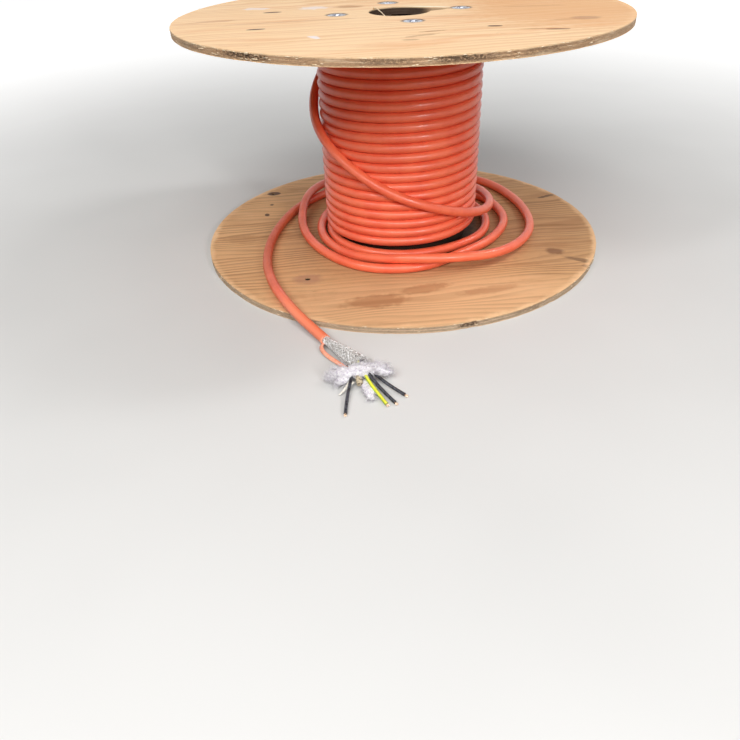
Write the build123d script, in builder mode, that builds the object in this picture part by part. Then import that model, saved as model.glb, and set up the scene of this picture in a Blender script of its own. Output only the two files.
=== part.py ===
"""Plywood cable drum, standing on one flange, with its cable wound on and its loose end let out.

Origin: centre of the bottom flange's underside. +Z runs up the drum's axis. Millimetres.
"""
from build123d import *
from math import acos, atan2, cos, degrees, radians, sin, tan
import os

os.makedirs("parts", exist_ok=True)

# Flanges: plywood discs
flange_diameter = 610.0
flange_thickness = 9.5
traverse = 305.0

# Arbor hole, and the notch cut into the top flange beside it
arbor_diameter = 84.0
notch_to_tee_nut = 2.5
notch_tip_width = 8.0
notch_near_angle = 22.0
notch_direction = 9.0

# Barrel: a fibre tube that stands in a groove in each flange
barrel_diameter = 203.0
barrel_wall = 8.0
groove_depth = 2.5
groove_clearance = 0.3
seat_gap = 0.2

# Four tie rods, each drawn up between two tee nuts
rod_count = 4
rod_diameter = 9.5
rod_setback = 1.2
rod_start_angle = 8.0
thread_clearance = 0.2
tee_plate_diameter = 26.0
tee_plate_thickness = 1.6
tee_plate_setback = 0.2
tee_barrel_diameter = 12.5
tee_barrel_length = 7.0
tee_barrel_sides = 8
tee_hole_clearance = 0.25
rod_side_gap = 1.5

# Holes drilled through the bottom flange, where the cable's end is tied down: inset from the
# rim, and angle
tie_hole_diameter = 8.0
tie_hole_places = [(88.0, -131.0), (21.0, 142.0)]

# Cable and its winding: one layer of turns on the barrel
cable_diameter = 13.5
winding_turns = 20
turn_gap = 0.04
winding_clearance = 0.3
winding_lift = 1.3
groove_depth_share = 0.6
cord_sides = 6

# Stripped end of the cable
braid_neck_diameter = 10.4
braid_mouth_diameter = 20.0
braid_length = 62.0
braid_sides = 12
braid_rise = 2.2
face_gap = 0.2
fleece_length = 84.0
fleece_width = 33.0
fleece_height = 18.0
fleece_lift = 0.4
fleece_sides = 14
fleece_taper = 28.0
fleece_centre_past_braid = 16.3
core_diameter = 4.0
core_sides = 6

# Sizes that follow from the ones above
drum_height = traverse + 2 * flange_thickness
top_flange_base = flange_thickness + traverse
arbor_radius = arbor_diameter / 2
barrel_radius = barrel_diameter / 2
barrel_bore_radius = barrel_radius - barrel_wall
barrel_length = traverse + 2 * (groove_depth - seat_gap)
rod_circle_radius = barrel_bore_radius - tee_barrel_diameter / 2 - rod_side_gap
rod_length = drum_height - 2 * rod_setback
rod_angles = [rod_start_angle + 360 / rod_count * index for index in range(rod_count)]
tee_hole_radius = tee_barrel_diameter / 2 + tee_hole_clearance
tee_recess_radius = tee_plate_diameter / 2 + tee_hole_clearance
tee_recess_depth = tee_plate_thickness + tee_plate_setback
notch_reach = rod_circle_radius - tee_recess_radius - notch_to_tee_nut
cable_radius = cable_diameter / 2
turn_pitch = cable_diameter + turn_gap
turn_centre_radius = barrel_radius + winding_clearance + cable_radius
winding_base = flange_thickness + cable_diameter + winding_lift

# The cable's route from the winding to its jacket's end: angle about the drum's axis, where
# 0 is the right and 90 the back and each full turn adds 360, then radius, then height
cable_route = [
    (-360, 109, 302.4), (-341, 114, 302.4), (-312, 114, 302.4), (-283, 119, 302.4), (-256, 127, 296),
    (-228, 131, 268), (-200, 131, 229), (-175, 128, 196), (-150, 127, 171), (-124, 127.5, 142),
    (-98, 127.5, 113), (-72, 127.5, 91), (-46, 130, 70), (-20, 137, 55), (8, 150, 46), (38, 166, 40),
    (70, 151, 34), (103, 135, 24.5), (140, 124, 16.8), (180, 118.5, 16.3), (222, 118, 16.3),
    (264, 117, 16.3), (306, 119, 16.3), (342, 140, 16.3), (380, 152, 16.3), (420, 163, 16.3),
    (462, 160, 16.3), (504, 145, 16.3), (546, 134.5, 16.3), (585, 136, 16.3), (612, 141, 22),
    (630, 158, 33), (648, 171, 33), (676, 198, 25), (708, 212, 18), (742, 226, 16.3),
    (772, 257, 16.3), (806, 252, 17), (838, 223, 28), (858, 198, 33), (876, 176, 29),
    (902, 160, 18), (934, 154, 16.3), (966, 165, 16.3), (996, 160, 16.3), (1024, 141, 16.3),
    (1054, 156, 16.3), (1086, 179, 16.3), (1122, 194, 16.3), (1160, 199, 16.3), (1200, 206, 16.3),
    (1228, 197, 16.3), (1252, 196, 16.3), (1273, 212, 16.3), (1291, 239, 16.8), (1304, 265, 18),
    (1314, 291, 20), (1321, 311, 17), (1327, 328, 11), (1331, 343, 8.2),
]

# Routes of the bare cores from the braid's mouth to their tips on the floor: x, y, z
core_routes = {
    "core_black_1": [(-75, -384, 9), (-80, -408, 8), (-85, -438, 3.5), (-84, -468, 2.3)],
    "core_earth": [(-70, -382, 8), (-60, -407, 7), (-48, -433, 3.5), (-38, -456, 2.3)],
    "core_black_2": [(-68, -381, 13), (-54, -406, 11), (-40, -431, 4.5), (-27, -454, 2.3)],
    "core_black_3": [(-65, -379, 9), (-48, -402, 8), (-32, -423, 4), (-17, -440, 2.3)],
}


def placed(angle, radius, height):
    """A point given by its angle about the drum's axis, its radius and its height."""
    return Vector(radius * cos(radians(angle)), radius * sin(radians(angle)), height)


def corner_radii(points):
    """The largest arc that each corner of a route has room for on its two runs."""
    radii = []
    for before, corner, after in zip(points, points[1:], points[2:]):
        run_in = corner - before
        run_out = after - corner
        half_turn = radians(run_in.get_angle(run_out)) / 2
        radii.append(0.45 * min(run_in.length, run_out.length) / tan(half_turn))
    return radii


def report_route(name, points, radii):
    """Prints a route's length limits and its tightest arc, in cable diameters."""
    runs = [(b - a).length for a, b in zip(points, points[1:])]
    ratio = max(max(a / b, b / a) for a, b in zip(runs, runs[1:]))
    print(f"{name}: {len(points)} points, runs {min(runs):.0f} to {max(runs):.0f} mm, "
          f"run ratio {ratio:.2f}, smallest arc radius {min(radii):.0f} mm")


def report_tube(name, solid, path_length, section_area):
    """Compares a tube's volume with its section times its length."""
    share = solid.volume / (section_area * path_length)
    print(f"{name}: length {path_length:.0f} mm, volume over section times length {share:.4f}")


# Bottom flange: disc with arbor hole, barrel groove, tee nut seats and tie holes
with BuildPart() as bottom_flange:
    with BuildSketch(Plane.XY):
        Circle(flange_diameter / 2)
    extrude(amount=flange_thickness)
    with BuildSketch(Plane.XY):
        Circle(arbor_radius)
        with PolarLocations(rod_circle_radius, rod_count, start_angle=rod_start_angle):
            Circle(tee_hole_radius)
        for inset, angle in tie_hole_places:
            with Locations(placed(angle, flange_diameter / 2 - inset, 0)):
                Circle(tie_hole_diameter / 2)
    extrude(amount=flange_thickness, mode=Mode.SUBTRACT)
    with BuildSketch(Plane.XY):
        with PolarLocations(rod_circle_radius, rod_count, start_angle=rod_start_angle):
            Circle(tee_recess_radius)
    extrude(amount=tee_recess_depth, mode=Mode.SUBTRACT)
    with BuildSketch(Plane.XY.offset(flange_thickness - groove_depth)):
        Circle(barrel_radius + groove_clearance)
        Circle(barrel_bore_radius - groove_clearance, mode=Mode.SUBTRACT)
    extrude(amount=groove_depth, mode=Mode.SUBTRACT)
bottom_flange.part.label = "bottom_flange"
export_step(bottom_flange.part, "parts/bottom_flange.step")

# Top flange: as the bottom one, upside down, with the cable notch beside its arbor hole
notch_back_angle = acos(arbor_radius / notch_reach)
notch_near = radians(notch_near_angle)
with BuildPart() as top_flange:
    with BuildSketch(Plane.XY.offset(top_flange_base)):
        Circle(flange_diameter / 2)
    extrude(amount=flange_thickness)
    with BuildSketch(Plane.XY.offset(top_flange_base)):
        Circle(arbor_radius)
        with PolarLocations(rod_circle_radius, rod_count, start_angle=rod_start_angle):
            Circle(tee_hole_radius)
    extrude(amount=flange_thickness, mode=Mode.SUBTRACT)
    with BuildSketch(Plane.XY.offset(top_flange_base).rotated((0, 0, notch_direction))):
        with BuildLine():
            Polyline(
                (0, 0),
                (arbor_radius * cos(notch_near), -arbor_radius * sin(notch_near)),
                (notch_reach, -notch_tip_width / 2),
                (notch_reach, notch_tip_width / 2),
                (arbor_radius * cos(notch_back_angle), arbor_radius * sin(notch_back_angle)),
                close=True,
            )
        make_face()
    extrude(amount=flange_thickness, mode=Mode.SUBTRACT)
    with BuildSketch(Plane.XY.offset(drum_height - tee_recess_depth)):
        with PolarLocations(rod_circle_radius, rod_count, start_angle=rod_start_angle):
            Circle(tee_recess_radius)
    extrude(amount=tee_recess_depth, mode=Mode.SUBTRACT)
    with BuildSketch(Plane.XY.offset(top_flange_base)):
        Circle(barrel_radius + groove_clearance)
        Circle(barrel_bore_radius - groove_clearance, mode=Mode.SUBTRACT)
    extrude(amount=groove_depth, mode=Mode.SUBTRACT)
top_flange.part.label = "top_flange"
export_step(top_flange.part, "parts/top_flange.step")

# Barrel: plain tube, its ends just short of the bottoms of both grooves
with BuildPart() as barrel:
    with BuildSketch(Plane.XY.offset(flange_thickness - groove_depth + seat_gap)):
        Circle(barrel_radius)
        Circle(barrel_bore_radius, mode=Mode.SUBTRACT)
    extrude(amount=barrel_length)
barrel.part.label = "barrel"
export_step(barrel.part, "parts/barrel.step")

# Tie rods
for number, angle in enumerate(rod_angles, 1):
    with BuildPart() as tie_rod:
        with BuildSketch(Plane.XY.offset(rod_setback)):
            with Locations(placed(angle, rod_circle_radius, 0)):
                Circle(rod_diameter / 2)
        extrude(amount=rod_length)
    tie_rod.part.label = f"tie_rod_{number}"
    export_step(tie_rod.part, f"parts/tie_rod_{number}.step")

# Tee nuts, four to a flange: each a plate with a short barrel that goes in round its rod
for end, height, inward in (("bottom", tee_plate_setback, 1),
                            ("top", drum_height - tee_plate_setback, -1)):
    seat = Plane(origin=(0, 0, height), z_dir=(0, 0, inward), x_dir=(1, 0, 0))
    with BuildPart() as tee_nuts:
        with BuildSketch(seat):
            with PolarLocations(rod_circle_radius, rod_count, start_angle=inward * rod_start_angle):
                Circle(tee_plate_diameter / 2)
        extrude(amount=tee_plate_thickness)
        with BuildSketch(seat):
            with PolarLocations(rod_circle_radius, rod_count, start_angle=inward * rod_start_angle):
                RegularPolygon(tee_barrel_diameter / 2, tee_barrel_sides)
        extrude(amount=tee_plate_thickness + tee_barrel_length)
        with BuildSketch(seat):
            with PolarLocations(rod_circle_radius, rod_count, start_angle=inward * rod_start_angle):
                Circle(rod_diameter / 2 + thread_clearance)
        extrude(amount=tee_plate_thickness + tee_barrel_length, mode=Mode.SUBTRACT)
    tee_nuts.part.label = f"tee_nuts_{end}"
    export_step(tee_nuts.part, f"parts/tee_nuts_{end}.step")

# Winding: one turned solid round the barrel, with a ridge on its outside for each turn
bore_radius = turn_centre_radius - cable_radius
crest_radius = turn_centre_radius + cable_radius
valley_radius = crest_radius - groove_depth_share * cable_radius
winding_top = winding_base + winding_turns * turn_pitch
winding_outline = [(bore_radius, winding_base)]
for index in range(winding_turns):
    turn_foot = winding_base + turn_pitch * index
    winding_outline += [(valley_radius, turn_foot), (crest_radius, turn_foot + turn_pitch / 2)]
winding_outline += [(valley_radius, winding_top), (bore_radius, winding_top)]
with BuildPart() as cable_winding:
    with BuildSketch(Plane.XZ):
        with BuildLine():
            Polyline(*winding_outline, close=True)
        make_face()
    revolve(axis=Axis.Z)
cable_winding.part.label = "cable_winding"
export_step(cable_winding.part, "parts/cable_winding.step")

# Loose end of the cable: over the winding, round its foot, over the rim and onto the floor
route_points = [placed(*place) for place in cable_route]
route_radii = corner_radii(route_points)
report_route("cable_tail", route_points, route_radii)
with BuildPart() as cable_tail:
    with BuildLine():
        tail_path = FilletPolyline(*route_points, radius=route_radii)
    with BuildSketch(Plane(origin=tail_path @ 0, z_dir=tail_path % 0)) as tail_section:
        RegularPolygon(cable_radius, cord_sides)
    sweep()
report_tube("cable_tail", cable_tail.part, tail_path.length, tail_section.sketch.area)
cable_tail.part.label = "cable_tail"
export_step(cable_tail.part, "parts/cable_tail.step")

# Shield braid: it flares from the jacket's end to a wide mouth
jacket_end = route_points[-1]
jacket_axis = tail_path % 1
along_end = Vector(jacket_axis.X, jacket_axis.Y, 0).normalized()
braid_mouth = jacket_end + along_end * braid_length + Vector(0, 0, braid_rise)
braid_axis = (braid_mouth - jacket_end).normalized()
with BuildPart() as shield_braid:
    with BuildSketch(Plane(origin=jacket_end + jacket_axis * face_gap, z_dir=jacket_axis)):
        RegularPolygon(braid_neck_diameter / 2, braid_sides)
    with BuildSketch(Plane(origin=braid_mouth, z_dir=braid_axis)):
        RegularPolygon(braid_mouth_diameter / 2, braid_sides)
    loft(ruled=True)
shield_braid.part.label = "shield_braid"
export_step(shield_braid.part, "parts/shield_braid.step")

# Cores: three black and the earth, fanned out on the floor
cores = []
for name, route in core_routes.items():
    points = [Vector(*point) for point in route]
    radii = corner_radii(points)
    report_route(name, points, radii)
    with BuildPart() as core:
        with BuildLine():
            core_path = FilletPolyline(*points, radius=radii)
        with BuildSketch(Plane(origin=core_path @ 0, z_dir=core_path % 0)) as core_section:
            RegularPolygon(core_diameter / 2, core_sides)
        sweep()
    report_tube(name, core.part, core_path.length, core_section.sketch.area)
    core.part.label = name
    export_step(core.part, f"parts/{name}.step")
    cores.append(core.part)

# Filler fleece: a soft lump across the cores, in front of the braid's mouth, drawn in at its
# top and bottom
fleece_centre = braid_mouth + along_end * (fleece_centre_past_braid + face_gap)
fleece_turn = degrees(atan2(along_end.Y, along_end.X)) + 90
fleece_steps = [radians(360 / fleece_sides * index) for index in range(fleece_sides)]
fleece_outline = [(fleece_length / 2 * cos(step), fleece_width / 2 * sin(step)) for step in fleece_steps]
fleece_middle = Vector(fleece_centre.X, fleece_centre.Y, fleece_lift + fleece_height / 2)
with BuildPart() as filler_fleece:
    for way in (1, -1):
        with BuildSketch(Plane(fleece_middle).rotated((0, 0, fleece_turn))):
            with BuildLine():
                Polyline(*fleece_outline, close=True)
            make_face()
        extrude(amount=way * fleece_height / 2, taper=fleece_taper)
    for core_solid in cores:
        add(core_solid, mode=Mode.SUBTRACT)
filler_fleece.part.label = "filler_fleece"
export_step(filler_fleece.part, "parts/filler_fleece.step")
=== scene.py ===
"""Looks of the plywood cable drum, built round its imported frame. Metres, +Z up the drum's axis.

The cable is one line, wound on and then let out; the flanges, rods, tee nuts and the cable's
stripped end are meshes that stand for their plain solids.
"""
import random
from math import cos, pi, radians, sin, tau

import bpy
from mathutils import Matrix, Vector, noise


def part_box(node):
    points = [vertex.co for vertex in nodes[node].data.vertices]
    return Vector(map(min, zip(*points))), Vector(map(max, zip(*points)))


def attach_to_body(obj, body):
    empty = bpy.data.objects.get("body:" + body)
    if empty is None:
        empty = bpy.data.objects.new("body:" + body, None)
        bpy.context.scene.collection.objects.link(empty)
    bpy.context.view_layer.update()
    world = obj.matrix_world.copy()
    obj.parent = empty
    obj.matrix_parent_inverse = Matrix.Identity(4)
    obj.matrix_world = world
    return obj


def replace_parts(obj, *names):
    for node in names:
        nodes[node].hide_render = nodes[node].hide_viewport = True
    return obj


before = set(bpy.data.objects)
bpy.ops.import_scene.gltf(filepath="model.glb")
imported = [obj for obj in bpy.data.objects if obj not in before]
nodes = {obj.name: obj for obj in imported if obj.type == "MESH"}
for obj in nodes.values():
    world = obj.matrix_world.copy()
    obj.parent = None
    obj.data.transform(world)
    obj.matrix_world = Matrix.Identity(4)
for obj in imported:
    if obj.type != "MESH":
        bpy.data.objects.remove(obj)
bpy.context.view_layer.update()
scene = bpy.context.scene

# Sizes that follow from the frame
flange_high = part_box("bottom_flange")[1]
flange_radius = flange_high.x
flange_thickness = flange_high.z
drum_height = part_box("top_flange")[1].z
rod_box = [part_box(f"tie_rod_{number}") for number in range(1, 5)]
rod_centres = [(low + high) / 2 for low, high in rod_box]
rod_radius = (rod_box[0][1].x - rod_box[0][0].x) / 2
rod_base = rod_box[0][0].z
rod_top = rod_box[0][1].z

# Plywood
ply_count = 5
face_skin = 0.0006

# Cable and winding
cable_diameter = 0.0135
turn_pitch = 0.01354
turn_centre_radius = 0.10855
winding_revolutions = 19.75
points_a_turn = 16
winding_end_angle = -360
winding_end_height = 0.2985
barrel_wall_radius = 0.095
lead_out_degrees = 60
lying_height = 0.0163
turn_sway = 0.0006
turn_rise = 0.00022

# The loose end's route: angle about the axis, radius and height, unless it lies
cable_route = [
    (-360, 0.109, 0.3024), (-341, 0.114, 0.3024), (-312, 0.114, 0.3024), (-283, 0.119, 0.3024),
    (-256, 0.127, 0.296), (-228, 0.131, 0.268), (-200, 0.131, 0.229), (-175, 0.128, 0.196),
    (-150, 0.127, 0.171), (-124, 0.1275, 0.142), (-98, 0.1275, 0.113), (-72, 0.1275, 0.091),
    (-46, 0.13, 0.07), (-20, 0.137, 0.055), (8, 0.15, 0.046), (38, 0.166, 0.04), (70, 0.151, 0.034),
    (103, 0.135, 0.0245), (140, 0.124, 0.0168), (180, 0.1185), (222, 0.118), (264, 0.117),
    (306, 0.119), (342, 0.14), (380, 0.152), (420, 0.163), (462, 0.16), (504, 0.145), (546, 0.1345),
    (585, 0.136), (612, 0.141, 0.022), (630, 0.158, 0.033), (648, 0.171, 0.033),
    (676, 0.198, 0.025), (708, 0.212, 0.018), (742, 0.226), (772, 0.257), (806, 0.252, 0.017),
    (838, 0.223, 0.028), (858, 0.198, 0.033), (876, 0.176, 0.029), (902, 0.16, 0.018), (934, 0.154),
    (966, 0.165), (996, 0.16), (1024, 0.141), (1054, 0.156), (1086, 0.179), (1122, 0.194),
    (1160, 0.199), (1200, 0.206), (1228, 0.197), (1252, 0.196), (1273, 0.212),
    (1291, 0.239, 0.0168), (1304, 0.265, 0.018), (1314, 0.291, 0.02), (1321, 0.311, 0.017),
    (1327, 0.328, 0.011), (1331, 0.343, 0.0082),
]

# Routes of the bare cores from inside the braid to their tips
core_routes = {
    "core_black_1": [
        (-0.079, -0.368, 0.01), (-0.078, -0.384, 0.0095), (-0.0805, -0.408, 0.0078),
        (-0.0855, -0.437, 0.0036), (-0.0868, -0.462, 0.0023)],
    "core_black_2": [
        (-0.074, -0.367, 0.013), (-0.068, -0.381, 0.013), (-0.058, -0.407, 0.01),
        (-0.045, -0.429, 0.005), (-0.0325, -0.446, 0.0023)],
    "core_black_3": [
        (-0.073, -0.366, 0.0105), (-0.066, -0.379, 0.0105), (-0.052, -0.403, 0.009),
        (-0.036, -0.42, 0.0048), (-0.021, -0.433, 0.0023)],
    "core_earth": [
        (-0.076, -0.368, 0.012), (-0.0705, -0.383, 0.0115), (-0.063, -0.4065, 0.0086),
        (-0.052, -0.429, 0.0046), (-0.042, -0.448, 0.0023)],
}
core_diameter = 0.004

# Lumps of the fleece: start, tip, half thickness, flatness and how many fibres stand off it
fleece_lumps = [
    ((-0.081, -0.3895, 0.01), (-0.057, -0.3915, 0.011), 0.0068, 0.85, 240),
    ((-0.086, -0.395, 0.01), (-0.052, -0.3985, 0.0115), 0.0074, 0.85, 270),
    ((-0.077, -0.397, 0.0085), (-0.101, -0.399, 0.0085), 0.0086, 0.8, 320),
    ((-0.09, -0.399, 0.007), (-0.1085, -0.3985, 0.006), 0.0058, 0.85, 210),
    ((-0.082, -0.401, 0.007), (-0.099, -0.411, 0.0055), 0.006, 0.8, 200),
    ((-0.06, -0.393, 0.0115), (-0.04, -0.3905, 0.0115), 0.0068, 0.85, 250),
    ((-0.05, -0.395, 0.0085), (-0.033, -0.396, 0.0075), 0.0048, 0.85, 190),
    ((-0.066, -0.406, 0.0042), (-0.0575, -0.4405, 0.0028), 0.0056, 0.45, 240),
]

# Worn places of each rim: the middle angle of an arc, its half width in degrees and its depth
rim_wear = {
    "top": [
        (-130, 5, 0.0016), (-124, 4, 0.002), (-138, 5, 0.0008), (-113, 5, 0.0006),
        (-100, 5, 0.0004), (-88, 3, 0.0007), (-81, 5, 0.0016), (-74, 5, 0.0013), (-62, 5, 0.0008),
        (-50, 5, 0.0006), (-160, 8, 0.0005), (20, 10, 0.0007), (70, 9, 0.001), (128, 12, 0.0008),
        (165, 8, 0.0006)],
    "bottom": [
        (-77, 3, 0.0015), (-70, 4, 0.0007), (-95, 6, 0.0004), (-120, 7, 0.0006), (-146, 8, 0.0005),
        (-55, 5, 0.0006), (-30, 6, 0.0005), (40, 9, 0.0007), (95, 8, 0.0009), (150, 9, 0.0007)],
}


def colour(red, green, blue):
    """A linear colour from its 0 to 255 screen values."""
    def linear(value):
        share = value / 255
        return share / 12.92 if share <= 0.04045 else ((share + 0.055) / 1.055) ** 2.4
    return (linear(red), linear(green), linear(blue), 1)


def placed(angle, radius, height):
    """A point given by its angle in degrees about the drum's axis, its radius and its height."""
    return Vector((radius * cos(radians(angle)), radius * sin(radians(angle)), height))


def up(height):
    return Vector((0, 0, height))


def clamp(value):
    return min(max(value, 0), 1)


def smooth_step(low, high, value):
    share = clamp((value - low) / (high - low))
    return share * share * (3 - 2 * share)


def noise_at(place, scale, *shift):
    return noise.noise(place * scale + Vector(shift))


def heading(path, index):
    """The direction of a path at one of its points."""
    return (path[min(index + 1, len(path) - 1)] - path[max(index - 1, 0)]).normalized()


def square_to(along):
    """Two directions square to a line and to each other, the first of them level."""
    side = along.cross(up(1)).normalized()
    return side, side.cross(along)


def spoke(side, above, turn):
    """The direction at an angle from one direction towards another."""
    return side * cos(turn) + above * sin(turn)


def shares(count):
    return [step / count for step in range(count + 1)]


def turns(count):
    return [tau * step / count for step in range(count)]


def linked(name, data):
    """A new object of the scene with this data."""
    made = bpy.data.objects.new(name, data)
    scene.collection.objects.link(made)
    return made


def attach(piece, material):
    """Gives a new piece its material, and lets it ride on the drum."""
    piece.data.materials.append(material)
    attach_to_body(piece, "root")
    return piece


def spline_piece(name, points, diameter, smoothness, sides):
    """A round tube along one smooth spline that has these points as its control points."""
    curve = bpy.data.curves.new(name, "CURVE")
    curve.dimensions = "3D"
    curve.resolution_u = smoothness
    curve.bevel_depth = diameter / 2
    curve.bevel_resolution = sides
    curve.use_fill_caps = True
    spline = curve.splines.new("NURBS")
    spline.points.add(len(points) - 1)
    for place, point in zip(spline.points, points):
        place.co = (*point, 1)
    spline.order_u = 3
    spline.use_endpoint_u = True
    return linked(name, curve)


def smooth_line(points, smoothness):
    """The points that a spline with these control points passes through."""
    holder = spline_piece("line", points, 0, smoothness, 0)
    bpy.context.view_layer.update()
    mesh = bpy.data.meshes.new_from_object(holder)
    line = [vertex.co.copy() for vertex in mesh.vertices]
    bpy.data.objects.remove(holder)
    bpy.data.meshes.remove(mesh)
    return line


class Shape:
    """The vertices and faces of one joined mesh."""

    def __init__(self):
        self.vertices = []
        self.faces = []

    def skin(self, sections, round_axis=False, closed=True, caps=True):
        """A skin over a row of sections that all have as many points.

        round_axis joins the last section to the first one, and closed joins each section's last
        point to its first. caps fills the two loops that are left open.
        """
        rows = len(sections)
        count = len(sections[0])
        base = len(self.vertices)
        self.vertices += [tuple(point) for section in sections for point in section]
        for row in range(rows if round_axis else rows - 1):
            near = base + row * count
            far = base + (row + 1) % rows * count
            for index in range(count if closed else count - 1):
                after = (index + 1) % count
                face = (near + index, near + after, far + after, far + index)
                self.faces.append(face[:1] + face[:0:-1] if round_axis else face)
        if caps:
            if round_axis:
                loop, across = range(base, base + rows * count, count), count - 1
            else:
                loop, across = range(base, base + count), (rows - 1) * count
            self.faces += [tuple(loop)[::-1], tuple(number + across for number in loop)]

    def tube(self, path, radii, sides, flat=1):
        """A tube along a path, with a radius for each of its points; flat squeezes its section."""
        rings = []
        side = None
        for index, point in enumerate(path):
            along = heading(path, index)
            if side is None:
                side = along.orthogonal().normalized()
            side = (side - along * side.dot(along)).normalized()
            across = along.cross(side)
            radius = radii[index] if isinstance(radii, list) else radii
            rings.append([
                point + side * radius * cos(turn) + across * radius * flat * sin(turn)
                for turn in turns(sides)
            ])
        self.skin(rings)

    def piece(self, name, smooth=True):
        mesh = bpy.data.meshes.new(name)
        mesh.from_pydata(self.vertices, [], self.faces)
        mesh.polygons.foreach_set("use_smooth", [smooth] * len(mesh.polygons))
        mesh.update()
        return linked(name, mesh)


def add_node(tree, kind, inputs=None, output=0, **settings):
    """A new node, its inputs linked or set; gives back one of its outputs."""
    made = tree.nodes.new(f"ShaderNode{kind}")
    for setting, value in settings.items():
        setattr(made, setting, value)
    for key, value in (inputs or {}).items():
        if isinstance(value, Flow):
            tree.links.new(value.socket, made.inputs[key])
        else:
            made.inputs[key].default_value = value
    return Flow(made.outputs[output])


class Flow:
    """One output of a node; working with it adds further nodes to its tree."""

    def __init__(self, socket):
        self.socket = socket
        self.tree = socket.id_data

    def node(self, kind, inputs, output=0, **settings):
        return add_node(self.tree, kind, inputs, output, **settings)

    def math(self, operation, second=0, clamped=False):
        return self.node("Math", {0: self, 1: second}, operation=operation, use_clamp=clamped)

    def __add__(self, second):
        return self.math("ADD", second)

    def __sub__(self, second):
        return self.math("SUBTRACT", second)

    def __rsub__(self, first):
        return self.node("Math", {0: first, 1: self}, operation="SUBTRACT")

    def __mul__(self, second):
        return self.math("MULTIPLY", second)

    def vector(self, operation, second=(0, 0, 0)):
        output = int(operation in ("LENGTH", "DOT_PRODUCT"))
        return self.node("VectorMath", {0: self, 1: second}, output, operation=operation)

    def part(self, axis):
        return self.node("SeparateXYZ", {0: self}, axis)

    def from_axis(self):
        """A place's distance from the drum's axis."""
        return self.vector("MULTIPLY", (1, 1, 0)).vector("LENGTH")

    def step(self, low, high, low_to=0, high_to=1):
        """A smooth rise from low_to at low to high_to at high."""
        ends = {"From Min": low, "From Max": high, "To Min": low_to, "To Max": high_to}
        return self.node("MapRange", {"Value": self, **ends}, interpolation_type="SMOOTHSTEP")

    def mix(self, first, second):
        """The first tone where this is 0, the second where it is 1."""
        tones = [colour(*tone) if isinstance(tone, tuple) else tone for tone in (first, second)]
        return self.node("Mix", {0: self, 6: tones[0], 7: tones[1]}, 2, data_type="RGBA")

    def over(self, base, tone, low, high, share=1):
        """A tone laid over another, from none of it at low to its full share at high."""
        return self.step(low, high, 0, share).mix(base, tone)

    def noise(self, scale, detail=2, roughness=0.5, distortion=0):
        return self.node(
            "TexNoise",
            {"Vector": self, "Scale": scale, "Detail": detail, "Roughness": roughness,
             "Distortion": distortion},
        )

    def stretched(self, scale, turn=0):
        """The place turned about the upright axis and then scaled along each axis."""
        turned = self.node("Mapping", {"Vector": self, "Rotation": (0, 0, turn)})
        return turned.vector("MULTIPLY", scale)

    def streaks(self, scale, detail, roughness, turn=0):
        """Noise drawn out along the axes that have the lower scales."""
        return self.stretched(scale, turn).noise(1, detail, roughness)

    def spot(self, centre, reach, turn=0, edge=0.35, ragged=0, ragged_scale=90):
        """A mask that is 1 inside an ellipse on the flange's face and 0 outside it."""
        distance = self.node(
            "Mapping",
            {"Vector": self, "Location": (*centre[:2], 0), "Rotation": (0, 0, turn),
             "Scale": (*reach, 100)},
            vector_type="TEXTURE",
        ).vector("LENGTH")
        if ragged:
            distance = self.noise(ragged_scale, 3) * ragged + distance - ragged / 2
        return distance.step(1 + edge, 1 - edge)

    def bump(self, distance, strength, below=None):
        normal = {"Normal": below} if below else {}
        return self.node(
            "Bump",
            {"Height": self, "Distance": distance, "Strength": strength, **normal},
        )


def background_rays(tree):
    """1 for rays that look at the background: from the camera, mirrored or through glass."""
    camera, mirrored, through = (
        add_node(tree, "LightPath", output=ray)
        for ray in ("Is Camera Ray", "Is Glossy Ray", "Is Transmission Ray")
    )
    return camera.math("MAXIMUM", mirrored.math("MAXIMUM", through))


class Finish:
    """One procedural material."""

    def __init__(self, name, roughness, **sockets):
        self.material = bpy.data.materials.new(name)
        self.material.use_nodes = True
        self.tree = self.material.node_tree
        self.shader = self.tree.nodes["Principled BSDF"]
        self.shader.inputs["Roughness"].default_value = roughness
        for socket, value in sockets.items():
            self.shader.inputs[socket.replace("_", " ")].default_value = value
        self.place = add_node(self.tree, "TexCoord", output="Object")

    def use(self, **sockets):
        for socket, value in sockets.items():
            self.tree.links.new(value.socket, self.shader.inputs[socket.replace("_", " ")])
        return self.material


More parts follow.
